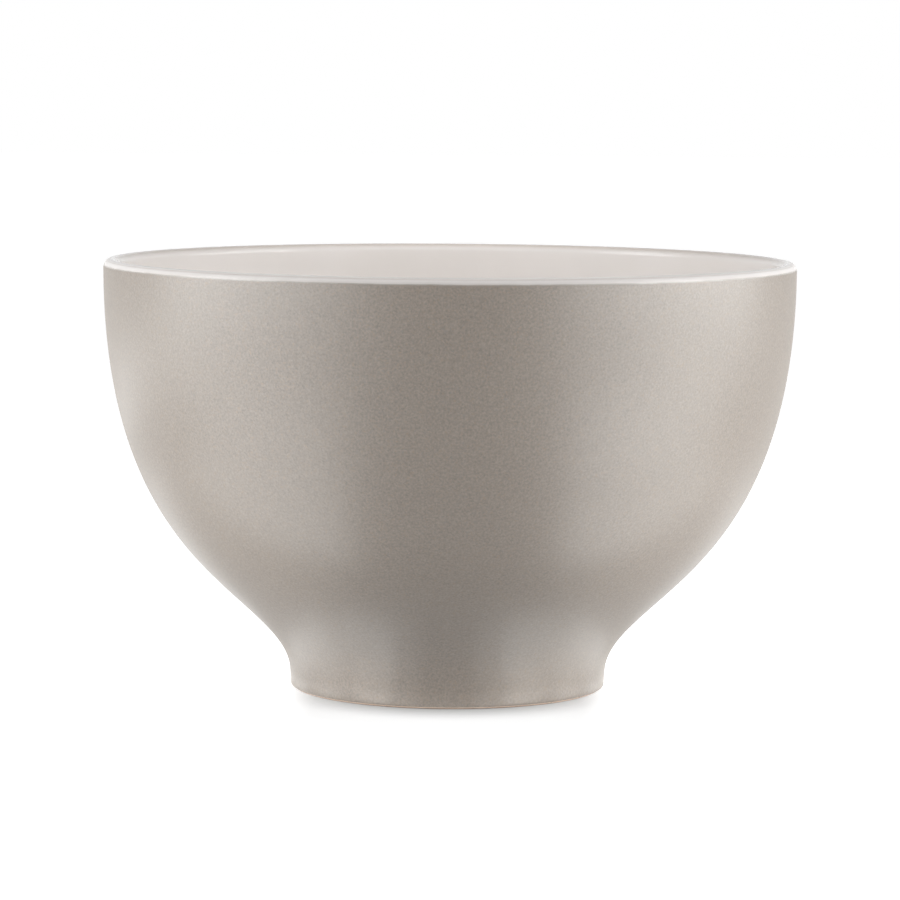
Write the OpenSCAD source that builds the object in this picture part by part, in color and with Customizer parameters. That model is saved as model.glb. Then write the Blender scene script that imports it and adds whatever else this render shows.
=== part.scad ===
// Footed latte bowl of glazed stoneware: one clay body and three glazes.
// Millimetres, +Z up, the foot's centre on the table at the origin.

/* [Rim] */
// Diameter over the rim
rim_d = 132; // [120:1:150]
// Height from the table to the lip's crest
bowl_h = 82; // [72:1:100]
// Thickness of the round lip
lip_t = 3; // [2:0.1:4]
// Angle on the lip, up from its outermost point, where the outside glaze gives way to the liner
glaze_line_angle = 17; // [1:1:60]

/* [Wall] */
// Diameter at the turn, where the belly gives way to the flare and the wall leans most
turn_d = 81.4; // [76:0.2:90]
// Height of the turn over the table
turn_h = 17.3; // [15:0.1:22]
// Lean of the wall from upright at the turn, in degrees
turn_lean = 47.5; // [42:0.5:52]
// Thickness of the wall at the turn
turn_t = 5; // [4:0.1:6.5]
// Fullness of the belly near the turn, as a share of the guide line that it leaves
belly_share = 0.4; // [0.2:0.01:0.6]
// Fullness of the flare near the turn, as a share of the guide line that it follows
flare_share = 0.6; // [0.2:0.01:0.9]

/* [Inside] */
// Height of the inside floor over the table, at the middle
floor_h = 10.2; // [9:0.1:12]
// How far along the inside curve the turn lies, as a share
inside_turn_share = 0.64; // [0.6:0.01:0.68]

/* [Foot] */
// Diameter at the top of the foot's straight edge
foot_d = 60.5; // [56:0.1:66]
// Height of the foot's straight edge
foot_edge_h = 3; // [2:0.1:4.5]
// Taper of the foot's edge, narrowing downwards, in degrees
foot_taper = 3; // [0:0.5:8]
// Width of the flat ring that stands on the table
foot_flat_w = 3; // [2:0.1:5]
// Radius of the wiped clay corners on both sides of that ring
foot_corner_r = 0.5; // [0.3:0.05:0.8]
// Bare clay at the foot's outer corner, as a share of that corner's radius
foot_bare_share = 0.7; // [0.3:0.05:1]

/* [Underside] */
// Depth of the recess inside the foot ring
recess_h = 4.9; // [3.5:0.1:5.5]
// Draft of the recess's wall, in degrees
recess_draft = 12; // [0:1:25]
// Radius of the clay between the recess's wall and its ceiling
recess_fillet_r = 2; // [1:0.1:2.5]
// Bare clay on the recess's wall, as a share of its straight stretch
recess_bare_share = 0.4; // [0.1:0.05:0.8]

/* [Glaze] */
// Thickness of each glaze
glaze_t = 0.3; // [0.15:0.05:0.45]

/* [Hidden] */
// Steps along a curve of the wall, and the most that one step of a round corner turns, in degrees
curve_steps = 18;
corner_turn = 15;
// Facets of a turned shape in a preview
$fn = 180;

rim_r = rim_d / 2;
lip_r = lip_t / 2;
lip_centre = [rim_r - lip_r, bowl_h - lip_r];

// A direction leaning inwards from straight down by an angle
function leaning(angle) = [-sin(angle), -cos(angle)];

// The direction at an angle, up from outwards
function pointing(angle) = [cos(angle), sin(angle)];

// The side to the right of a heading, which is into the clay for a line that runs down its outside
function right_of(heading) = [heading[1], -heading[0]] / norm(heading);

// How far to go from one point along a heading to meet a line through another point
function distance_to_line(from, heading, point, line) =
    cross(point - from, line) / cross(heading, line);

// Weights of a curve's four control points at a share of its length
function weights(share) = [
    pow(1 - share, 3),
    3 * share * pow(1 - share, 2),
    3 * pow(share, 2) * (1 - share),
    pow(share, 3)
];

// Heading of the curve through four control points at a share of its length
function curve_heading(controls, share) =
    (controls[1] - controls[0]) * pow(1 - share, 2)
    + (controls[2] - controls[1]) * 2 * share * (1 - share)
    + (controls[3] - controls[2]) * pow(share, 2);

// The points along a curve, moved to its right by a depth
function curve_line(controls, depth) = [
    for (step = [0 : curve_steps])
        weights(step / curve_steps) * controls
            + depth * right_of(curve_heading(controls, step / curve_steps))
];

// The points along an arc
function arc_line(centre, r, start, end) =
    let (steps = max(1, ceil(abs(end - start) / corner_turn)))
    [
        for (step = [0 : steps])
            centre + r * pointing(start + (end - start) * step / steps)
    ];

// A line without its first point, to join it to the line that ends there
function rest(line) = [for (step = [1 : len(line) - 1]) line[step]];

function backwards(line) = [for (step = [len(line) - 1 : -1 : 0]) line[step]];

// Outside of the wall, from the rim down: both curves leave the turn along one straight guide line
turn = [turn_d / 2, turn_h];
foot_top = [foot_d / 2, foot_edge_h];
rim_side = [rim_r, lip_centre[1]];
to_rim = distance_to_line(turn, -leaning(turn_lean), rim_side, leaning(0));
to_foot = distance_to_line(turn, leaning(turn_lean), foot_top, leaning(foot_taper));
belly_curve = [
    rim_side,
    turn - leaning(turn_lean) * to_rim,
    turn - leaning(turn_lean) * to_rim * belly_share,
    turn
];
flare_curve = [
    turn,
    turn + leaning(turn_lean) * to_foot * flare_share,
    turn + leaning(turn_lean) * to_foot,
    foot_top
];

// Inside of the bowl: one curve from the lip to the floor, through the point that the wall's thickness sets
inside_top = [rim_r - lip_t, lip_centre[1]];
inside_turn = turn + right_of(leaning(turn_lean)) * turn_t;
turn_weights = weights(inside_turn_share);
inside_drop = (inside_top[1] * (turn_weights[0] + turn_weights[1])
    + floor_h * (turn_weights[2] + turn_weights[3]) - inside_turn[1]) / turn_weights[1];
inside_floor_r = (inside_turn[0] - inside_top[0] * (turn_weights[0] + turn_weights[1])) / turn_weights[2];
inside_curve = [
    inside_top,
    inside_top + leaning(0) * inside_drop,
    [inside_floor_r, floor_h],
    [0, floor_h]
];

// Foot: the centre of the outer corner's round for a skin of some thickness over the clay
function foot_corner(skin) =
    let (r = foot_corner_r + skin)
    let (sink = glaze_t - skin + r)
    [foot_top[0] - (sink + (foot_top[1] - r) * sin(foot_taper)) / cos(foot_taper), r];

// The angle on that round, down from outwards, at which the glaze was wiped away
bare_h = foot_corner_r * foot_bare_share;
function wiped_angle(skin) = asin(1 - bare_h / (foot_corner_r + skin));

// Recess: the inner corner's round, the drafted wall and the round under the ceiling
recess_corner = [foot_corner(0)[0] - foot_flat_w, foot_corner_r];
recess_facing = 180 + recess_draft;
recess_wall_foot = recess_corner + foot_corner_r * pointing(recess_facing);
recess_top = recess_h + glaze_t;
recess_fillet_z = recess_top - recess_fillet_r;
recess_wall_run = (recess_fillet_z + recess_fillet_r * sin(recess_draft) - recess_wall_foot[1]) / cos(recess_draft);
recess_wall_top = recess_wall_foot + recess_wall_run * pointing(recess_facing - 90);
recess_fillet = recess_wall_top + recess_fillet_r * pointing(recess_facing);

// The lip's round between two angles, at a depth under the glazed surface
function lip_line(start, end, depth) = arc_line(lip_centre, lip_r - depth, start, end);

// Down the outside from the lip to the bare clay, for a skin of some thickness over the clay
function outside_line(skin) = concat(
    lip_line(glaze_line_angle, 0, glaze_t - skin),
    rest(curve_line(belly_curve, glaze_t - skin)),
    rest(curve_line(flare_curve, glaze_t - skin)),
    arc_line(foot_corner(skin), foot_corner_r + skin, -foot_taper, -wiped_angle(skin))
);

// Up the inside from the floor's middle and over the lip to the glaze line
function inside_line(depth) = concat(
    backwards(curve_line(inside_curve, -depth)),
    rest(lip_line(180, glaze_line_angle, depth))
);

// The ring that stands on the table, of bare clay, and the recess's wall up to its glaze
recess_glaze_foot = recess_wall_foot + (recess_wall_top - recess_wall_foot) * recess_bare_share;
ring_line = concat(
    rest(arc_line(foot_corner(0), foot_corner_r, -wiped_angle(0), -90)),
    arc_line(recess_corner, foot_corner_r, -90, recess_facing - 360)
);

// Up the recess's wall and along its ceiling to the middle, for a skin of some thickness over the clay
function recess_line(skin) = concat(
    [recess_glaze_foot + skin * pointing(recess_facing)],
    arc_line(recess_fillet, recess_fillet_r - skin, recess_draft, 90),
    [[0, recess_top - skin]]
);

module clay_body() {
    color("tan")
        rotate_extrude()
            polygon(concat(
                inside_line(glaze_t),
                rest(outside_line(0)),
                ring_line,
                recess_line(0)
            ));
}

module outside_glaze() {
    color([0.55, 0.51, 0.47])
        rotate_extrude()
            polygon(concat(
                outside_line(glaze_t),
                backwards(outside_line(0))
            ));
}

module inside_glaze() {
    color([0.85, 0.82, 0.79])
        rotate_extrude()
            polygon(concat(
                inside_line(0),
                backwards(inside_line(glaze_t))
            ));
}

module base_glaze() {
    color([0.82, 0.79, 0.76])
        rotate_extrude()
            polygon(concat(
                recess_line(glaze_t),
                backwards(recess_line(0))
            ));
}

clay_body();
outside_glaze();
inside_glaze();
base_glaze();
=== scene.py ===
"""Looks of a footed latte bowl: bare clay under a metallic outside glaze and a pale glossy liner.

Lengths are metres, in the part's own frame: +Z up along the bowl's axis, with the middle of the foot on the
floor at the origin. Angles are radians, apart from those of the lamps beside the bowl, which are degrees.
Every piece is turned around the bowl's axis from a section.
"""
import logging
import math
from dataclasses import dataclass, field
from enum import Enum
from typing import Any, Union

import bmesh
import bpy
from mathutils import Matrix, Vector


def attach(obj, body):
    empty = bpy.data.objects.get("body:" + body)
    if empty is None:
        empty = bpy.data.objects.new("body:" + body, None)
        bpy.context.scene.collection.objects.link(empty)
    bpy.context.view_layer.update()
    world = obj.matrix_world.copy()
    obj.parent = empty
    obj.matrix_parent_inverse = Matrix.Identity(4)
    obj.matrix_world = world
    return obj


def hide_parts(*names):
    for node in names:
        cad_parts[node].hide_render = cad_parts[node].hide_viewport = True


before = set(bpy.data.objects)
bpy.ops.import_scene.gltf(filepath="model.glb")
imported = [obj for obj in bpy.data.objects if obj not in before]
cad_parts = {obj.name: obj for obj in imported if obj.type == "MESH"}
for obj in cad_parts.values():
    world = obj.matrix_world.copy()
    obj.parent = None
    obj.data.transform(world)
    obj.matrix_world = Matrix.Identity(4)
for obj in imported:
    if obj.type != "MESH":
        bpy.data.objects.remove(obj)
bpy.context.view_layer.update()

LOG = logging.getLogger("latte_bowl")
BODY = "root"
WHITE = (1.0, 1.0, 1.0)
BLACK = (0.0, 0.0, 0.0)
BELOW_LINE = "below_line"
# The value that a noise wanders around
MIDDLE = 0.5

Colour = tuple[float, float, float]
Span = tuple[float, float]
Line = list[Vector]


class Slot(Enum):
    """The record's material slots."""

    CLAY = "bare_clay"
    OUTSIDE = "taupe_glaze"
    LINER = "liner_glaze"
    BASE = "foot_glaze"


class Side(Enum):
    """The two sides that the lamps stand on, with the sign of X there."""

    LEFT = -1.0
    RIGHT = 1.0


class Wire:
    """One output socket of a node tree. Arithmetic on it adds Math nodes."""

    def __init__(self, net: "Net", socket: bpy.types.NodeSocket) -> None:
        """Keeps the socket and the net that it belongs to."""
        self.net = net
        self.socket = socket

    def out(self, name: Union[str, int]) -> "Wire":
        """Returns another output of the same node."""
        return Wire(self.net, self.socket.node.outputs[name])

    def math(self, operation: str, *values: Any, clamp: bool = False) -> "Wire":
        """Adds one Math node.

        Args:
            operation: Name of the node's operation.
            values: The node's inputs in order, as wires or numbers.
            clamp: Whether the result is kept between 0 and 1.

        Returns:
            The result's wire.
        """
        settings = {"operation": operation, "use_clamp": clamp}
        return self.net.node("ShaderNodeMath", settings, dict(enumerate(values)))

    def __add__(self, other: Any) -> "Wire":
        """Returns self + other."""
        return self.math("ADD", self, other)

    def __radd__(self, other: Any) -> "Wire":
        """Returns other + self."""
        return self.math("ADD", other, self)

    def __sub__(self, other: Any) -> "Wire":
        """Returns self - other."""
        return self.math("SUBTRACT", self, other)

    def __rsub__(self, other: Any) -> "Wire":
        """Returns other - self."""
        return self.math("SUBTRACT", other, self)

    def __mul__(self, other: Any) -> "Wire":
        """Returns self * other."""
        return self.math("MULTIPLY", self, other)

    def __truediv__(self, other: Any) -> "Wire":
        """Returns self / other."""
        return self.math("DIVIDE", self, other)

    def __rtruediv__(self, other: Any) -> "Wire":
        """Returns other / self."""
        return self.math("DIVIDE", other, self)

    def __neg__(self) -> "Wire":
        """Returns the wire with its sign changed."""
        return self * -1.0

    def clamped(self) -> "Wire":
        """Returns the wire kept between 0 and 1."""
        return self.math("ADD", self, 0.0, clamp=True)


class Net:
    """Adds nodes to a shader tree or a geometry tree."""

    def __init__(self, tree: bpy.types.NodeTree) -> None:
        """Keeps the tree that the nodes go to."""
        self.tree = tree

    def node(
        self,
        kind: str,
        settings: Union[dict[str, Any], None] = None,
        sockets: Union[dict[Union[str, int], Any], None] = None,
        out: Union[str, int] = 0,
    ) -> Wire:
        """Adds one node, with its settings first and its sockets next.

        Args:
            kind: The node's type.
            settings: The node's own properties.
            sockets: Values or wires of the inputs, by name or number.
            out: The output that is wanted.

        Returns:
            The wire of that output.
        """
        node = self.tree.nodes.new(kind)
        for name, value in (settings or {}).items():
            setattr(node, name, value)
        for name, value in (sockets or {}).items():
            if isinstance(value, Wire):
                self.tree.links.new(value.socket, node.inputs[name])
            elif value is not None:
                node.inputs[name].default_value = value
        if not node.outputs:
            return Wire(self, node.inputs[0])
        return Wire(self, node.outputs[out])

    def mix(self, share: Any, a: Any, b: Any) -> Wire:
        """Mixes two colours.

        Args:
            share: How much of b there is, as a wire or a number.
            a: Colour at a share of 0.
            b: Colour at a share of 1.

        Returns:
            The mixed colour's wire.
        """
        colours = [c if isinstance(c, Wire) else (*c, 1.0) for c in (a, b)]
        settings = {"data_type": "RGBA", "clamp_factor": True}
        return self.node("ShaderNodeMix", settings, {0: share, 6: colours[0], 7: colours[1]}, out=2)

    def smooth(self, value: Wire, low: float, high: float) -> Wire:
        """Goes smoothly from 0 where the value is low to 1 where it is high."""
        settings = {"interpolation_type": "SMOOTHSTEP"}
        return self.node("ShaderNodeMapRange", settings, {"Value": value, "From Min": low, "From Max": high})

    def noise(self, place: Wire, size: float, detail: float = 2.0, roughness: float = 0.5) -> Wire:
        """Adds a noise whose blotches have a real size.

        Args:
            place: Where it is read.
            size: Rough size of its blotches, in metres.
            detail: How many finer layers it has.
            roughness: How strong the finer layers are.

        Returns:
            The wire of a value around the middle of its range.
        """
        sockets = {"Vector": place, "Scale": 1.0 / size, "Detail": detail, "Roughness": roughness}
        return self.node("ShaderNodeTexNoise", {}, sockets)

    def specks(self, place: Wire, size: float, edges: Span, lots: Span) -> Wire:
        """Adds round specks at some of many random places.

        Args:
            place: Where they are read.
            size: Rough distance between the places, in metres.
            edges: Distances from a place between which its speck fades, as shares of that size.
            lots: Lots from 0 to 1, one drawn for each place, between which its speck comes in.

        Returns:
            The wire of a value that is 1 on a speck and 0 beside it.
        """
        cells = self.node("ShaderNodeTexVoronoi", {}, {"Vector": place, "Scale": 1.0 / size})
        drawn = self.node("ShaderNodeSeparateColor", {}, {"Color": cells.out("Color")}, out="Red")
        return (1.0 - self.smooth(cells, *edges)) * self.smooth(drawn, *lots)

    def bump(self, height: Wire, depth: float, strength: float = 1.0) -> Wire:
        """Turns a height from 0 to 1 into a normal, with the depth of the relief in metres."""
        return self.node("ShaderNodeBump", {}, {"Height": height, "Distance": depth, "Strength": strength})

    def seen(self) -> Wire:
        """Tells the rays that show a thing from those that only light others with it.

        Returns:
            The wire of 1 for rays of the camera, of reflections and through glass, and of 0 for others.
        """
        rays = self.node("ShaderNodeLightPath", out="Is Camera Ray")
        mirrored = rays.math("MAXIMUM", rays, rays.out("Is Glossy Ray"))
        return rays.math("MAXIMUM", mirrored, rays.out("Is Transmission Ray"))


def new_material(name: str) -> tuple[bpy.types.Material, Net]:
    """Makes an empty material.

    Args:
        name: The material's name.

    Returns:
        The material and the net of its tree.
    """
    material = bpy.data.materials.new(name)
    material.use_nodes = True
    material.node_tree.nodes.clear()
    return material, Net(material.node_tree)


def show_surface(net: Net, shader: Wire) -> None:
    """Ends a material's tree in a surface."""
    net.node("ShaderNodeOutputMaterial", {}, {"Surface": shader})


def add_object(name: str, data: bpy.types.ID) -> bpy.types.Object:
    """Makes an object and links it to the scene.

    Args:
        name: The object's name.
        data: Its mesh, lamp or camera.

    Returns:
        The object.
    """
    thing = bpy.data.objects.new(name, data)
    bpy.context.scene.collection.objects.link(thing)
    return thing


def add_lamp(data: bpy.types.Light, place: Matrix) -> bpy.types.Object:
    """Makes the object of a lamp that the camera doesn't see.

    Args:
        data: The lamp's data, with the name that the object gets too.
        place: Where it stands and how it is turned.

    Returns:
        The lamp's object.
    """
    lamp = add_object(data.name, data)
    lamp.matrix_world = place
    lamp.visible_camera = False
    return lamp


def rotation(angle: float, axis: str) -> Matrix:
    """Returns the matrix that turns by an angle around an axis."""
    return Matrix.Rotation(angle, 4, axis)


@dataclass(frozen=True)
class PearlGlaze:
    """Satin glaze with fine metallic flakes, fading into the liner where the two meet on the lip."""

    colour: Colour = (0.300, 0.246, 0.199)
    shade: Colour = (0.150, 0.124, 0.102)
    warm_flake: Colour = (0.300, 0.226, 0.165)
    cool_flake: Colour = (0.238, 0.224, 0.211)
    roughness: float = 0.42
    roughness_spread: float = 0.06
    ior: float = 1.79
    flake_size: float = 0.00026
    flake_share: float = 0.35
    flake_strength: float = 0.6
    flake_metallic: float = 0.35
    grain_size: float = 0.0004
    grain_contrast: float = 2.0
    grain_depth: float = 0.000003
    grain_relief: float = 0.6
    cloud_size: float = 0.02
    cloud_contrast: float = 0.15
    fade_length: float = 0.00028
    fade_ragged_size: float = 0.0004
    fade_ragged_share: float = 1.5

    def material(self, liner: "LinerGlaze") -> bpy.types.Material:
        """Makes the material.

        Args:
            liner: The finish of the glaze that it fades into.

        Returns:
            The material.
        """
        material, net = new_material("pearl_glaze")
        place = net.node("ShaderNodeTexCoord", out="Object")
        grain = net.noise(place, self.grain_size, detail=3.0, roughness=0.6)
        clouds = net.noise(place, self.cloud_size, detail=2.0)
        tone = (grain - MIDDLE) * self.grain_contrast + (clouds - MIDDLE) * self.cloud_contrast + MIDDLE
        body = net.mix(tone.clamped(), self.shade, self.colour)
        scale = 1.0 / self.flake_size
        cells = net.node("ShaderNodeTexVoronoi", {}, {"Vector": place, "Scale": scale}, out="Color")
        flake = net.node("ShaderNodeSeparateColor", {}, {"Color": cells}, out="Red")
        glint = net.smooth(flake, 1.0 - self.flake_share, 1.0)
        flakes = net.mix(flake.out("Green"), self.warm_flake, self.cool_flake)
        body = net.mix(glint * self.flake_strength, body, flakes)
        below = net.node("ShaderNodeAttribute", {"attribute_name": BELOW_LINE}, out="Fac")
        ragged = net.noise(place, self.fade_ragged_size, detail=2.0)
        depth = below + (ragged - MIDDLE) * self.fade_length * self.fade_ragged_share
        fade = 1.0 - net.smooth(depth, 0.0, self.fade_length)
        rough = self.roughness + (grain - MIDDLE) * self.roughness_spread
        shader = net.node("ShaderNodeBsdfPrincipled", {}, {
            "Base Color": net.mix(fade, body, liner.veil),
            "Metallic": (1.0 - fade) * glint * self.flake_metallic,
            "Roughness": rough * (1.0 - fade) + fade * liner.thin_roughness,
            "IOR": self.ior,
            "Normal": net.bump(grain, self.grain_depth, self.grain_relief),
        })
        show_surface(net, shader)
        return material


@dataclass(frozen=True)
class GlazeBreakAndShadeRing:
    """A ring around the lip that shows darker: where a glaze runs thin over the lip, and as painted shade on
    the lip's inner round.
    """

    radius: float
    width: float
    share: float


@dataclass(frozen=True)
class LinerGlaze:
    """Glossy pale glaze of the inside and the lip, darker in a ring where it breaks over the lip, with
    painted shade in a ring on the lip's inner round.
    """

    name: str = "liner_glaze"
    colour: Colour = (0.84, 0.795, 0.765)
    deep: Colour = (0.82, 0.775, 0.74)
    thin: Colour = (0.84, 0.785, 0.75)
    crest_and_shade: Colour = (0.62, 0.53, 0.47)
    outer_break: GlazeBreakAndShadeRing = GlazeBreakAndShadeRing(radius=0.06535, width=0.0002, share=0.45)
    # Painted shade: a darker ring on the lip's inner round.
    inner_painted_shade: GlazeBreakAndShadeRing = GlazeBreakAndShadeRing(radius=0.0637, width=0.0007, share=0.80)
    veil: Colour = (0.44, 0.395, 0.355)
    veil_share: float = 0.35
    veil_width: float = 0.0006
    thick_radius: float = 0.0641
    thin_radius: float = 0.0650
    roughness: float = 0.10
    roughness_spread: float = 0.02
    thin_roughness: float = 0.25
    ior: float = 1.37
    cloud_size: float = 0.018
    cloud_range: Span = (0.3, 0.7)
    swell_size: float = 0.006
    swell_depth: float = 0.000006
    speck: Colour = (0.50, 0.44, 0.39)
    speck_size: float = 0.0025
    speck_edges: Span = (0.015, 0.045)
    speck_lots: Span = (0.82, 0.9)
    speck_share: float = 0.35

    def material(self) -> bpy.types.Material:
        """Makes the material.

        Returns:
            The material.
        """
        material, net = new_material(self.name)
        place = net.node("ShaderNodeTexCoord", out="Object")
        clouds = net.noise(place, self.cloud_size, detail=3.0)
        swell = net.noise(place, self.swell_size, detail=1.0)
        specks = net.specks(place, self.speck_size, self.speck_edges, self.speck_lots)
        colour = net.mix(net.smooth(clouds, *self.cloud_range), self.deep, self.colour)
        colour = net.mix(specks * self.speck_share, colour, self.speck)
        flat = net.node("ShaderNodeVectorMath", {"operation": "MULTIPLY"}, {0: place, 1: (1.0, 1.0, 0.0)})
        radius = net.node("ShaderNodeVectorMath", {"operation": "LENGTH"}, {0: flat}, out="Value")
        thin = net.smooth(radius, self.thick_radius, self.thin_radius)
        colour = net.mix(thin, colour, self.thin)
        # The outer ring is glaze breaking thin; the inner ring is painted shade on the lip's inner round.
        for ring in (self.outer_break, self.inner_painted_shade):
            off = radius.math("ABSOLUTE", radius - ring.radius)
            colour = net.mix((1.0 - net.smooth(off, 0.0, ring.width)) * ring.share, colour, self.crest_and_shade)
        below = net.node("ShaderNodeAttribute", {"attribute_name": BELOW_LINE}, out="Fac")
        veiled = net.smooth(below, -self.veil_width, 0.0) * thin * self.veil_share
        rough = self.roughness + (clouds - MIDDLE) * self.roughness_spread
        shader = net.node("ShaderNodeBsdfPrincipled", {}, {
            "Base Color": net.mix(veiled, colour, self.veil),
            "Roughness": rough + thin * (self.thin_roughness - self.roughness),
            "IOR": self.ior,
            "Normal": net.bump(swell, self.swell_depth),
        })
        show_surface(net, shader)
        return material


@dataclass(frozen=True)
class BareClay:
    """Fired stoneware without glaze: dry, tan and finely gritty."""

    colour: Colour = (0.74, 0.55, 0.43)
    light: Colour = (0.82, 0.65, 0.53)
    tone_range: Span = (0.35, 0.65)
    roughness: float = 0.85
    roughness_spread: float = 0.1
    grain_size: float = 0.0006
    grain_depth: float = 0.00003
    grain_share: float = 0.6
    blotch_size: float = 0.007
    grit: Colour = (0.26, 0.16, 0.11)
    grit_size: float = 0.0014
    grit_edges: Span = (0.08, 0.2)
    grit_lots: Span = (0.7, 0.8)
    grit_share: float = 0.7

    def material(self) -> bpy.types.Material:
        """Makes the material.

        Returns:
            The material.
        """
        material, net = new_material("bare_clay")
        place = net.node("ShaderNodeTexCoord", out="Object")
        grain = net.noise(place, self.grain_size, detail=4.0, roughness=0.65)
        blotches = net.noise(place, self.blotch_size, detail=3.0)
        grit = net.specks(place, self.grit_size, self.grit_edges, self.grit_lots)
        tone = grain * self.grain_share + blotches * (1.0 - self.grain_share)
        colour = net.mix(net.smooth(tone, *self.tone_range), self.colour, self.light)
        shader = net.node("ShaderNodeBsdfPrincipled", {}, {
            "Base Color": net.mix(grit * self.grit_share, colour, self.grit),
            "Roughness": self.roughness + (grain - MIDDLE) * self.roughness_spread,
            "Normal": net.bump(grain, self.grain_depth),
        })
        show_surface(net, shader)
        return material


@dataclass(frozen=True)
class FloorFinish:
    """Plain pale floor that shows as white, apart from a painted shadow around the foot, where its glow is
    dimmed.
    """

    colour: Colour = (0.5, 0.5, 0.5)
    painted_shadow_centre: tuple[float, float, float] = (0.0, -0.008, 0.0)
    contact_radius: float = 0.0175
    near_radius: float = 0.0365
    far_radius: float = 0.065
    painted_shadow_glow: float = 0.1
    near_glow: float = 0.70
    far_glow: float = 1.0
    side_reach: Span = (0.024, 0.034)

    def material(self) -> bpy.types.Material:
        """Makes the material, with a glow for the camera and for reflections that is dimmed around the foot
        as a painted shadow.

        Returns:
            The material.
        """
        material, net = new_material("white_floor")
        place = net.node("ShaderNodeTexCoord", out="Object")
        # Painted shadow: the glow dips around a point just in front of the foot and rises to white further
        # out.
        points = {0: place, 1: self.painted_shadow_centre}
        radius = net.node("ShaderNodeVectorMath", {"operation": "DISTANCE"}, points, out="Value")
        near = net.smooth(radius, self.contact_radius, self.near_radius)
        far = net.smooth(radius, self.near_radius, self.far_radius)
        glow = self.painted_shadow_glow + near * (self.near_glow - self.painted_shadow_glow)
        glow = glow + far * (self.far_glow - self.near_glow)
        # Beside the foot the painted shadow is faded back to white, so that it lies mostly in front.
        aside = net.node("ShaderNodeSeparateXYZ", {}, {0: place}, out="X")
        beside = net.smooth(aside.math("ABSOLUTE", aside), *self.side_reach)
        shown = net.mix(glow + beside * (self.far_glow - glow), BLACK, WHITE)
        paper = net.node("ShaderNodeBsdfDiffuse", {}, {"Color": (*self.colour, 1.0)})
        light = net.node("ShaderNodeEmission", {}, {"Color": shown, "Strength": net.seen()})
        show_surface(net, net.node("ShaderNodeAddShader", {}, {0: paper, 1: light}))
        return material


def leaning(angle: float) -> Vector:
    """Returns the direction that leans inwards from straight down by an angle."""
    return Vector((-math.sin(angle), -math.cos(angle)))


def pointing(angle: float) -> Vector:
    """Returns the direction at an angle up from outwards."""
    return Vector((math.cos(angle), math.sin(angle)))


def cross(a: Vector, b: Vector) -> float:
    """Returns the cross product of two plane vectors."""
    return a.x * b.y - a.y * b.x


def distance_to_line(start: Vector, heading: Vector, point: Vector, line: Vector) -> float:
    """Returns how far to go from start along a heading to meet the line through a point."""
    return cross(point - start, line) / cross(heading, line)


@dataclass(frozen=True)
class Curve:
    """A curve of the section through four control points."""

    controls: tuple[Vector, Vector, Vector, Vector]
    steps: int

    def line(self, depth: float = 0.0) -> Line:
        """Returns the points along the curve.

        Args:
            depth: How far the points are moved to the right of the curve's heading.

        Returns:
            The points from the first control point to the last.
        """
        a, b, c, d = self.controls
        points = []
        for step in range(self.steps + 1):
            t = step / self.steps
            u = 1.0 - t
            point = a * u**3 + b * (3 * t * u**2) + c * (3 * t**2 * u) + d * t**3
            heading = ((b - a) * u**2 + (c - b) * (2 * t * u) + (d - c) * t**2).normalized()
            points.append(point + Vector((heading.y, -heading.x)) * depth)
        return points


def arc(centre: Vector, radius: float, start: float, end: float, steps: int) -> Line:
    """Returns the points along an arc.

    Args:
        centre: Centre of the arc.
        radius: Radius of the arc.
        start: Angle of its first point, up from outwards.
        end: Angle of its last point.
        steps: Number of stretches.

    Returns:
        The points in order.
    """
    turns = [start + (end - start) * step / steps for step in range(steps + 1)]
    return [centre + pointing(turn) * radius for turn in turns]


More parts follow.
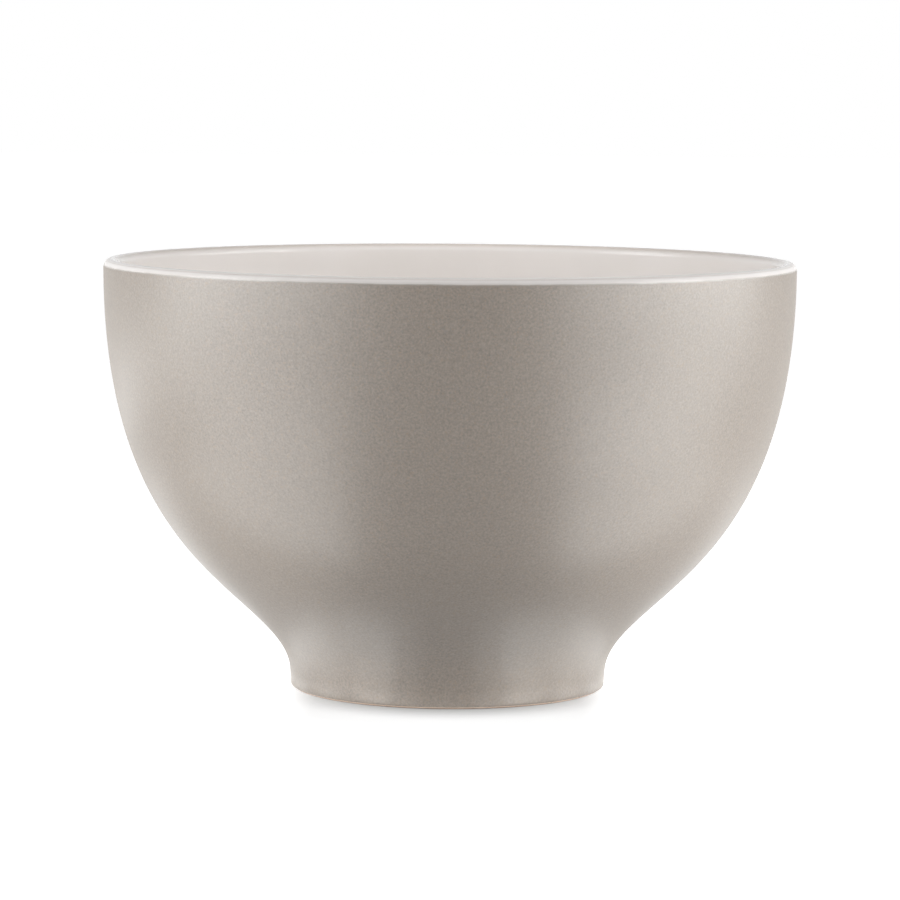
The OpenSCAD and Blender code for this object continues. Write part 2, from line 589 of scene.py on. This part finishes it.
@dataclass(frozen=True)
class BowlForm:
    """The bowl's sizes and the lines of its section. Points are (radius, height)."""

    rim_radius: float = 0.066
    height: float = 0.082
    lip_thickness: float = 0.003
    glaze_line: float = math.radians(17.0)
    turn_radius: float = 0.0407
    turn_height: float = 0.0173
    turn_lean: float = math.radians(47.5)
    turn_thickness: float = 0.005
    belly_share: float = 0.4
    flare_share: float = 0.6
    floor_height: float = 0.0102
    inside_turn_share: float = 0.64
    foot_radius: float = 0.03025
    foot_edge_height: float = 0.003
    foot_taper: float = math.radians(3.0)
    foot_flat: float = 0.003
    foot_corner_radius: float = 0.0005
    foot_bare_share: float = 0.7
    recess_height: float = 0.0049
    recess_draft: float = math.radians(12.0)
    recess_fillet: float = 0.002
    recess_bare_share: float = 0.4
    glaze: float = 0.0003
    belly_steps: int = 56
    flare_steps: int = 32
    inside_steps: int = 84
    lip_steps: int = 40
    line_steps: int = 8
    corner_steps: int = 8

    @property
    def lip_radius(self) -> float:
        """Radius of the round lip."""
        return self.lip_thickness / 2

    @property
    def lip_centre(self) -> Vector:
        """Centre of the round lip."""
        return Vector((self.rim_radius - self.lip_radius, self.height - self.lip_radius))

    @property
    def turn(self) -> Vector:
        """The point where the belly gives way to the flare."""
        return Vector((self.turn_radius, self.turn_height))

    @property
    def foot_top(self) -> Vector:
        """Top of the foot's straight edge."""
        return Vector((self.foot_radius, self.foot_edge_height))

    def belly(self) -> Curve:
        """Draws the outside of the wall's belly.

        Returns:
            The curve from the rim down to the turn.
        """
        rim_side = Vector((self.rim_radius, self.lip_centre.y))
        guide = leaning(self.turn_lean)
        reach = distance_to_line(self.turn, -guide, rim_side, leaning(0.0))
        full = self.turn - guide * (reach * self.belly_share)
        return Curve((rim_side, self.turn - guide * reach, full, self.turn), self.belly_steps)

    def flare(self) -> Curve:
        """Draws the outside of the wall's flare.

        Returns:
            The curve from the turn down to the foot's edge.
        """
        guide = leaning(self.turn_lean)
        reach = distance_to_line(self.turn, guide, self.foot_top, leaning(self.foot_taper))
        full = self.turn + guide * (reach * self.flare_share)
        return Curve((self.turn, full, self.turn + guide * reach, self.foot_top), self.flare_steps)

    def inside(self) -> Curve:
        """Draws the inside of the bowl, through the point that the wall's thickness at the turn sets.

        Returns:
            The curve from the lip down to the middle of the floor.
        """
        top = Vector((self.rim_radius - self.lip_thickness, self.lip_centre.y))
        guide = leaning(self.turn_lean)
        through = self.turn + Vector((guide.y, -guide.x)) * self.turn_thickness
        t = self.inside_turn_share
        u = 1.0 - t
        first, second, third, fourth = u**3, 3 * t * u**2, 3 * t**2 * u, t**3
        drop = (top.y * (first + second) + self.floor_height * (third + fourth) - through.y) / second
        floor_radius = (through.x - top.x * (first + second)) / third
        controls = (
            top,
            top + leaning(0.0) * drop,
            Vector((floor_radius, self.floor_height)),
            Vector((0.0, self.floor_height)),
        )
        return Curve(controls, self.inside_steps)

    def foot_corner(self, skin: float) -> Vector:
        """Finds the centre of the foot's outer corner.

        Args:
            skin: Thickness of glaze over the clay that the corner belongs to.

        Returns:
            The centre.
        """
        radius = self.foot_corner_radius + skin
        sink = self.glaze - skin + radius
        drop = (self.foot_top.y - radius) * math.sin(self.foot_taper)
        return Vector((self.foot_top.x - (sink + drop) / math.cos(self.foot_taper), radius))

    def wiped_angle(self, skin: float) -> float:
        """Returns the angle on that corner, down from outwards, at which the glaze was wiped away."""
        bare = self.foot_corner_radius * self.foot_bare_share
        return math.asin(1.0 - bare / (self.foot_corner_radius + skin))

    def lip_line(self, start: float, end: float, depth: float, steps: int) -> Line:
        """Returns the lip's round between two angles, at a depth under the glazed surface."""
        return arc(self.lip_centre, self.lip_radius - depth, start, end, steps)

    def outside_line(self, skin: float) -> Line:
        """Returns the line down the outside, from the glaze line to the bare clay.

        Args:
            skin: Thickness of glaze over the clay that the line runs on.

        Returns:
            The points in order.
        """
        depth = self.glaze - skin
        line = self.lip_line(self.glaze_line, 0.0, depth, self.line_steps)
        line += self.belly().line(depth)[1:] + self.flare().line(depth)[1:]
        centre, radius = self.foot_corner(skin), self.foot_corner_radius + skin
        return line + arc(centre, radius, -self.foot_taper, -self.wiped_angle(skin), self.corner_steps)

    def inside_line(self, depth: float) -> Line:
        """Returns the line from the floor's middle up the inside and over the lip to the glaze line.

        Args:
            depth: Depth of the line under the glazed surface.

        Returns:
            The points in order.
        """
        line = self.inside().line(-depth)[::-1]
        return line + self.lip_line(math.pi, self.glaze_line, depth, self.lip_steps)[1:]

    def recess_line(self, skin: float) -> Line:
        """Returns the line up the recess's wall and along its ceiling to the middle.

        Args:
            skin: Thickness of glaze over the clay that the line runs on.

        Returns:
            The points in order.
        """
        facing, foot, centre = self._recess()
        wall_top = centre - pointing(facing) * self.recess_fillet
        start = foot + (wall_top - foot) * self.recess_bare_share + pointing(facing) * skin
        radius = self.recess_fillet - skin
        line = [start] + arc(centre, radius, self.recess_draft, math.pi / 2, self.corner_steps)
        return line + [Vector((0.0, centre.y + radius))]

    def ring_line(self) -> Line:
        """Draws the line along the bare ring that stands on the floor and up to the recess's wall.

        Returns:
            The points in order.
        """
        radius, down, end = self.foot_corner_radius, -math.pi / 2, self._recess()[0] - 2 * math.pi
        outer = arc(self.foot_corner(0.0), radius, -self.wiped_angle(0.0), down, self.corner_steps)
        return outer[1:] + arc(self._recess_corner(), radius, down, end, self.corner_steps)

    def _recess_corner(self) -> Vector:
        """Returns the centre of the ring's inner corner."""
        return Vector((self.foot_corner(0.0).x - self.foot_flat, self.foot_corner_radius))

    def _recess(self) -> tuple[float, Vector, Vector]:
        """Places the recess's wall.

        Returns:
            The angle that the wall faces, the wall's foot, and the centre of the round under the ceiling.
        """
        facing = math.pi + self.recess_draft
        foot = self._recess_corner() + pointing(facing) * self.foot_corner_radius
        centre_height = self.recess_height + self.glaze - self.recess_fillet
        rise = centre_height + self.recess_fillet * math.sin(self.recess_draft) - foot.y
        wall_top = foot + pointing(facing - math.pi / 2) * (rise / math.cos(self.recess_draft))
        return facing, foot, wall_top + pointing(facing) * self.recess_fillet


@dataclass
class Wheel:
    """Turns sections around the bowl's axis with Geometry Nodes, and lets the glaze line wander."""

    form: BowlForm
    segments: int = 384
    weld: float = 0.000002
    line_spread: float = math.radians(14.0)
    wander: float = math.radians(6.0)
    wander_size: float = 0.004
    seed: float = 7.0
    crease: float = math.radians(35.0)
    tree: Union[bpy.types.NodeTree, None] = field(default=None, init=False)
    inputs: dict[str, str] = field(default_factory=dict, init=False)

    def _values(self) -> dict[str, float]:
        """Returns the tree's numbers by the names of their inputs."""
        return {
            "Wheel Radius": self.form.rim_radius,
            "Weld Distance": self.weld,
            "Lip Centre Radius": self.form.lip_centre.x,
            "Lip Centre Height": self.form.lip_centre.y,
            "Lip Radius": self.form.lip_radius,
            "Line Angle": self.form.glaze_line,
            "Line Spread": self.line_spread,
            "Wander": self.wander,
            "Wander Size": self.wander_size,
            "Seed": self.seed,
        }

    def _add_input(self, name: str, kind: str) -> None:
        """Adds a named input to the tree and keeps its identifier."""
        socket = self.tree.interface.new_socket(name, in_out="INPUT", socket_type=kind)
        self.inputs[name] = socket.identifier

    def build_tree(self) -> None:
        """Builds the tree: a section in, a turned and welded surface out."""
        self.tree = bpy.data.node_groups.new("turned_on_a_wheel", "GeometryNodeTree")
        self._add_input("Section", "NodeSocketGeometry")
        self._add_input("Segments", "NodeSocketInt")
        for name in self._values():
            self._add_input(name, "NodeSocketFloat")
        self._add_input("Finish", "NodeSocketMaterial")
        self.tree.interface.new_socket("Surface", in_out="OUTPUT", socket_type="NodeSocketGeometry")
        net = Net(self.tree)
        given = net.node("NodeGroupInput")
        surface = self._turned(net, given)
        surface = self._wandering(net, given, surface)
        weld = {"Geometry": surface, "Distance": given.out("Weld Distance")}
        surface = net.node("GeometryNodeMergeByDistance", {}, weld)
        surface = net.node("GeometryNodeSetShadeSmooth", {}, {"Geometry": surface})
        surface = net.node("GeometryNodeRealizeInstances", {}, {"Geometry": surface})
        dress = {"Geometry": surface, "Material": given.out("Finish")}
        net.node("NodeGroupOutput", {}, {0: net.node("GeometryNodeSetMaterial", {}, dress)})

    def _turned(self, net: Net, given: Wire) -> Wire:
        """Sweeps the section along a circle.

        Args:
            net: The tree's net.
            given: The tree's inputs.

        Returns:
            The swept surface.
        """
        section = net.node("GeometryNodeMeshToCurve", {}, {"Mesh": given.out("Section")})
        place = net.node("ShaderNodeSeparateXYZ", {}, {0: net.node("GeometryNodeInputPosition")})
        out = place.out("X") - given.out("Wheel Radius")
        local = net.node("ShaderNodeCombineXYZ", {}, {0: out, 1: -place.out("Z")})
        section = net.node("GeometryNodeSetPosition", {}, {"Geometry": section, "Position": local})
        ring = net.node("GeometryNodeCurvePrimitiveCircle", {"mode": "RADIUS"}, {
            "Resolution": given.out("Segments"),
            "Radius": given.out("Wheel Radius"),
        })
        ring = net.node("GeometryNodeSetCurveNormal", {"mode": "Z_UP"}, {"Curve": ring})
        return net.node("GeometryNodeCurveToMesh", {}, {"Curve": ring, "Profile Curve": section})

    def _wandering(self, net: Net, given: Wire, surface: Wire) -> Wire:
        """Slides points along the lip's round, so that the glaze line isn't a perfect circle.

        Args:
            net: The tree's net.
            given: The tree's inputs.
            surface: The turned surface.

        Returns:
            The surface, with the depth below the glaze line kept as an attribute.
        """
        place = net.node("ShaderNodeSeparateXYZ", {}, {0: net.node("GeometryNodeInputPosition")})
        x, y, z = (place.out(axis) for axis in "XYZ")
        radius = place.math("SQRT", x * x + y * y)
        out = radius - given.out("Lip Centre Radius")
        up = z - given.out("Lip Centre Height")
        angle = place.math("ARCTAN2", up, out)
        reach = place.math("SQRT", out * out + up * up)
        flat = net.node("ShaderNodeCombineXYZ", {}, {0: x, 1: y})
        waves = net.node("ShaderNodeTexNoise", {"noise_dimensions": "4D"}, {
            "Vector": flat,
            "W": given.out("Seed"),
            "Scale": 1.0 / given.out("Wander Size"),
            "Detail": 3.0,
            "Roughness": 0.6,
        })
        drift = (waves - MIDDLE) / MIDDLE * given.out("Wander")
        off = place.math("ABSOLUTE", angle - given.out("Line Angle"))
        nearness = 1.0 - off / given.out("Line Spread")
        moved = angle + drift * net.smooth(nearness, 0.0, 1.0)
        new_radius = given.out("Lip Centre Radius") + reach * place.math("COSINE", moved)
        grow = new_radius / place.math("MAXIMUM", radius, given.out("Weld Distance"))
        target = net.node("ShaderNodeCombineXYZ", {}, {
            0: x * grow,
            1: y * grow,
            2: given.out("Lip Centre Height") + reach * place.math("SINE", moved),
        })
        below = (given.out("Line Angle") + drift - moved) * given.out("Lip Radius")
        surface = net.node("GeometryNodeStoreNamedAttribute", {"data_type": "FLOAT", "domain": "POINT"}, {
            "Geometry": surface,
            "Name": BELOW_LINE,
            "Value": below,
        })
        return net.node("GeometryNodeSetPosition", {}, {
            "Geometry": surface,
            "Selection": place.math("GREATER_THAN", nearness, 0.0),
            "Position": target,
        })

    def turn(self, name: str, section: Line, closed: bool, finish: bpy.types.Material) -> bpy.types.Object:
        """Turns a section into a piece.

        Args:
            name: Name of the piece.
            section: Points of the section, as (radius, height).
            closed: Whether the section closes on itself, away from the axis.
            finish: Material of the piece.

        Returns:
            The piece's object, with a plain mesh.
        """
        count = len(section)
        edges = [(i, i + 1) for i in range(count - 1)] + ([(count - 1, 0)] if closed else [])
        outline = bpy.data.meshes.new(name + "_section")
        outline.from_pydata([(p.x, 0.0, p.y) for p in section], edges, [])
        blank = add_object(name + "_blank", outline)
        modifier = blank.modifiers.new("wheel", "NODES")
        modifier.node_group = self.tree
        for label, value in {**self._values(), "Segments": self.segments, "Finish": finish}.items():
            modifier[self.inputs[label]] = value
        graph = bpy.context.evaluated_depsgraph_get()
        mesh = bpy.data.meshes.new_from_object(blank.evaluated_get(graph))
        blank.modifiers.remove(modifier)
        bpy.data.objects.remove(blank)
        bpy.data.meshes.remove(outline)
        mesh.name = name
        self._point_outwards(mesh)
        mesh.set_sharp_from_angle(angle=self.crease)
        return add_object(name, mesh)

    @staticmethod
    def _point_outwards(mesh: bpy.types.Mesh) -> None:
        """Turns all faces round if the mesh is inside out.

        Args:
            mesh: A closed mesh.
        """
        work = bmesh.new()
        work.from_mesh(mesh)
        if work.calc_volume(signed=True) < 0.0:
            bmesh.ops.reverse_faces(work, faces=work.faces)
            work.to_mesh(mesh)
        work.free()


def place_piece(piece: bpy.types.Object, node: str) -> None:
    """Puts a piece in the place of a CAD node.

    Args:
        piece: The piece.
        node: The node that it stands for.
    """
    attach(piece, BODY)
    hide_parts(node)
    LOG.info("%s: %d faces, replaces %s", piece.name, len(piece.data.polygons), node)


@dataclass
class ClayBody:
    """The fired clay: wall, lip, floor and foot ring in one piece."""

    form: BowlForm
    finish: BareClay = BareClay()

    def build(self, wheel: Wheel) -> None:
        """Builds, dresses and places the piece.

        Args:
            wheel: The wheel that turns it.
        """
        form = self.form
        section = form.inside_line(form.glaze) + form.outside_line(0.0)[1:] + form.ring_line()
        section += form.recess_line(0.0)
        piece = wheel.turn("turned_clay_body", section, False, self.finish.material())
        place_piece(piece, "clay_body")


@dataclass
class OutsideGlaze:
    """The metallic skin from the glaze line on the lip down to the foot."""

    form: BowlForm
    liner: LinerGlaze
    finish: PearlGlaze = PearlGlaze()

    def build(self, wheel: Wheel) -> None:
        """Builds, dresses and places the piece.

        Args:
            wheel: The wheel that turns it.
        """
        form = self.form
        section = form.outside_line(form.glaze) + form.outside_line(0.0)[::-1]
        piece = wheel.turn("outside_glaze_skin", section, True, self.finish.material(self.liner))
        place_piece(piece, "outside_glaze")


@dataclass
class InsideGlaze:
    """The glossy liner from the floor up the inside and over the lip."""

    form: BowlForm
    finish: LinerGlaze

    def build(self, wheel: Wheel) -> None:
        """Builds, dresses and places the piece.

        Args:
            wheel: The wheel that turns it.
        """
        form = self.form
        section = form.inside_line(0.0) + form.inside_line(form.glaze)[::-1]
        piece = wheel.turn("inside_glaze_skin", section, False, self.finish.material())
        place_piece(piece, "inside_glaze")


@dataclass
class BaseGlaze:
    """The glazed ceiling of the recess inside the foot ring."""

    form: BowlForm
    finish: LinerGlaze = LinerGlaze(name="base_glaze")

    def build(self, wheel: Wheel) -> None:
        """Builds, dresses and places the piece.

        Args:
            wheel: The wheel that turns it.
        """
        form = self.form
        section = form.recess_line(form.glaze)[::-1] + form.recess_line(0.0)
        piece = wheel.turn("base_glaze_skin", section, False, self.finish.material())
        place_piece(piece, "base_glaze")


@dataclass
class Viewpoint:
    """The photograph's camera: a long lens a little above the rim, looking along +Y."""

    distance: float = 0.771125
    height: float = 0.121334
    pitch: float = math.radians(5.622)
    roll: float = math.radians(0.404)
    yaw: float = math.radians(0.016)
    lens: float = 161.602
    sensor: float = 36.0
    clip: Span = (0.01, 50.0)

    def build(self) -> None:
        """Makes the camera and sets it as the scene's own."""
        data = bpy.data.cameras.new("camera")
        data.sensor_fit = "HORIZONTAL"
        data.sensor_width = self.sensor
        data.lens = self.lens
        data.clip_start, data.clip_end = self.clip
        camera = add_object("camera", data)
        place = Matrix.Translation((0.0, -self.distance, self.height)) @ rotation(-self.yaw, "Z")
        camera.matrix_world = place @ rotation(math.pi / 2 - self.pitch, "X") @ rotation(self.roll, "Z")
        bpy.context.scene.camera = camera


@dataclass(frozen=True)
class Upright:
    """A lamp that stands upright beside the bowl, with angles in degrees."""

    name: str
    azimuths: Span
    heights: Span
    radiance: float


@dataclass(frozen=True)
class Panel:
    """A lamp that lies flat beside the foot, along the line from the axis at an angle in degrees."""

    name: str
    edge: float
    along: Span
    across: Span
    radiance: float


@dataclass
class SideLight:
    """The soft lamps on one side: upright ones at some distance, and flat ones beside the foot.

    Azimuths are turned from the photograph's side of the bowl towards this side. A radiance of 1 is white.
    """

    side: Side
    uprights: tuple[Upright, ...]
    panels: tuple[Panel, ...]
    reach: float = 0.6
    tint: Colour = (0.95, 0.98, 1.0)
    lift: float = 0.0002

    def build(self) -> None:
        """Makes the lamps of this side."""
        for upright in self.uprights:
            self._stand(upright)
        for panel in self.panels:
            self._lay(panel)

    def _lamp(self, name: str, size: Span, radiance: float, place: Matrix) -> None:
        """Makes one lamp.

        Args:
            name: What the lamp is called on its side.
            size: Its width and height.
            radiance: How bright it looks, where 1 is white.
            place: Where it stands and how it is turned.
        """
        data = bpy.data.lights.new(f"{self.side.name.lower()}_{name}_lamp", "AREA")
        data.shape = "RECTANGLE"
        data.size, data.size_y = size
        data.energy = radiance * math.pi * size[0] * size[1]
        data.color = self.tint
        add_lamp(data, place)

    def _stand(self, upright: Upright) -> None:
        """Stands a lamp upright beside the bowl, facing across to the other side.

        Args:
            upright: The lamp.
        """
        front, back = (-self.reach / math.tan(math.radians(azimuth)) for azimuth in upright.azimuths)
        low, high = upright.heights
        centre = Vector((self.side.value * self.reach, (front + back) / 2, (low + high) / 2))
        turn = rotation(self.side.value * math.pi / 2, "Z") @ rotation(math.pi / 2, "X")
        place = Matrix.Translation(centre) @ turn
        self._lamp(upright.name, (back - front, high - low), upright.radiance, place)

    def _lay(self, panel: Panel) -> None:
        """Lays a lamp flat beside the foot, facing up, with its front edge along the panel's line.

        Args:
            panel: The lamp.
        """
        edge = math.radians(panel.edge)
        along = Vector((self.side.value * math.sin(edge), -math.cos(edge), 0.0))
        across = Vector((self.side.value * math.cos(edge), math.sin(edge), 0.0))
        centre = along * sum(panel.along) / 2 + across * sum(panel.across) / 2
        centre.z = self.lift
        turn = rotation(math.atan2(along.y, along.x), "Z") @ rotation(math.pi, "X")
        size = (panel.along[1] - panel.along[0], panel.across[1] - panel.across[0])
        self._lamp(panel.name, size, panel.radiance, Matrix.Translation(centre) @ turn)


# The panels right beside the foot: how far out they lie, and how wide the narrow and the wide ones are
FOOT_REACH = (0.0315, 0.037)
NARROW = (0.0, 0.006)
WIDE = (0.0, 0.0134)
# The angles in degrees of the first wide panel and from one to the next
WIDE_START = 22.0
WIDE_STEP = 23.0


def foot_panels(radiances: tuple[float, ...]) -> tuple[Panel, ...]:
    """Returns wide panels that follow the foot's round, one for each radiance."""
    return tuple(
        Panel(f"foot_{i}", WIDE_START + WIDE_STEP * i, FOOT_REACH, WIDE, radiance)
        for i, radiance in enumerate(radiances)
    )


RIGHT_LIGHT = SideLight(
    Side.RIGHT,
    uprights=(
        Upright("upper", azimuths=(60.0, 95.0), heights=(0.20, 0.60), radiance=4.0),
        Upright("lower", azimuths=(35.0, 112.0), heights=(0.0, 0.20), radiance=4.6),
    ),
    panels=(
        Panel("front", edge=0.0, along=FOOT_REACH, across=NARROW, radiance=0.45),
        Panel("shoulder", edge=11.0, along=FOOT_REACH, across=NARROW, radiance=0.95),
        *foot_panels((1.8, 1.4, 1.4, 1.2)),
        Panel("rear", edge=110.0, along=(0.05, 0.16), across=(0.0, 0.08), radiance=0.7),
        Panel("middle", edge=34.0, along=(0.06, 0.12), across=(0.0, 0.12), radiance=1.65),
        Panel("far", edge=35.0, along=(0.12, 0.26), across=(0.0, 0.26), radiance=2.5),
    ),
)
LEFT_LIGHT = SideLight(
    Side.LEFT,
    uprights=(
        Upright("upper", azimuths=(60.0, 95.0), heights=(0.20, 0.60), radiance=4.0),
        Upright("lower", azimuths=(29.0, 100.0), heights=(0.0, 0.20), radiance=4.55),
    ),
    panels=(
        Panel("front", edge=0.0, along=FOOT_REACH, across=NARROW, radiance=0.45),
        Panel("shoulder", edge=11.0, along=FOOT_REACH, across=NARROW, radiance=0.85),
        *foot_panels((1.8, 1.4, 1.4, 1.2)),
        Panel("rear", edge=110.0, along=(0.05, 0.16), across=(0.0, 0.08), radiance=0.9),
        Panel("middle", edge=29.0, along=(0.06, 0.12), across=(0.0, 0.12), radiance=1.55),
        Panel("far", edge=30.5, along=(0.12, 0.26), across=(0.0, 0.26), radiance=1.8),
        Panel("outer", edge=36.0, along=(-0.1, 0.26), across=(0.26, 0.50), radiance=1.9),
    ),
)


@dataclass(frozen=True)
class BowlLight:
    """A weak lamp high in front, whose soft beam passes over the lip and brightens the inside alone.

    Its level is how bright it makes a white thing that faces it, where 1 is white.
    """

    target: tuple[float, float, float] = (0.0, 0.004, 0.08)
    elevation: float = math.radians(65.0)
    distance: float = 1.5
    beam_radius: float = 0.059
    level: float = 0.85
    softness: float = 0.25
    size: float = 0.02

    def build(self) -> None:
        """Makes the lamp and points it into the bowl."""
        data = bpy.data.lights.new("bowl_lamp", "SPOT")
        data.spot_size = 2 * math.atan(self.beam_radius / self.distance)
        data.spot_blend = self.softness
        data.shadow_soft_size = self.size
        data.energy = self.level * 4 * math.pi**2 * self.distance**2
        away = Vector((0.0, -math.cos(self.elevation), math.sin(self.elevation)))
        place = Matrix.Translation(Vector(self.target) + away * self.distance)
        lamp = add_lamp(data, place @ (-away).to_track_quat("-Z", "Y").to_matrix().to_4x4())
        lamp.visible_glossy = False


@dataclass(frozen=True)
class FootLight:
    """A low round lamp on the floor, of which a narrow ring shows around the foot and lights its edge."""

    radius: float = 0.0325
    lift: float = 0.0002
    radiance: float = 0.6

    def build(self) -> None:
        """Makes the lamp, facing up."""
        data = bpy.data.lights.new("foot_lamp", "AREA")
        data.shape = "DISK"
        data.size = 2 * self.radius
        data.energy = self.radiance * math.pi**2 * self.radius**2
        add_lamp(data, Matrix.Translation((0.0, 0.0, self.lift)) @ rotation(math.pi, "X"))


@dataclass
class Studio:
    """Plain white floor and world, and the soft lamps around the bowl."""

    floor_size: float = 8.0
    ambient: float = 0.02
    floor_finish: FloorFinish = FloorFinish()
    lights: tuple[SideLight, ...] = (RIGHT_LIGHT, LEFT_LIGHT)
    bowl_light: BowlLight = BowlLight()
    foot_light: FootLight = FootLight()

    def build(self) -> None:
        """Builds the floor, the world and the lamps."""
        half = self.floor_size / 2
        corners = [(-half, -half, 0.0), (half, -half, 0.0), (half, half, 0.0), (-half, half, 0.0)]
        mesh = bpy.data.meshes.new("floor")
        mesh.from_pydata(corners, [], [(0, 1, 2, 3)])
        mesh.materials.append(self.floor_finish.material())
        floor = add_object("floor", mesh)
        self._build_world()
        for light in self.lights:
            light.build()
        self.bowl_light.build()
        self.foot_light.build()

    def _build_world(self) -> None:
        """Makes the world: white to the camera and in reflections, dimmer as a light."""
        world = bpy.data.worlds.new("studio")
        world.use_nodes = True
        world.node_tree.nodes.clear()
        net = Net(world.node_tree)
        seen = net.seen()
        strength = seen + (1.0 - seen) * self.ambient
        sky = net.node("ShaderNodeBackground", {}, {"Color": (*WHITE, 1.0), "Strength": strength})
        net.node("ShaderNodeOutputWorld", {}, {"Surface": sky})
        bpy.context.scene.world = world


def main() -> None:
    """Builds the camera, the studio and the bowl's pieces."""
    logging.basicConfig(level=logging.INFO, format="%(name)s: %(message)s")
    bpy.context.scene.view_settings.view_transform = "Standard"
    Viewpoint().build()
    Studio().build()
    form = BowlForm()
    wheel = Wheel(form)
    wheel.build_tree()
    liner = LinerGlaze()
    for part in (ClayBody(form), OutsideGlaze(form, liner), InsideGlaze(form, liner), BaseGlaze(form)):
        part.build(wheel)


if __name__ == "__main__":
    main()
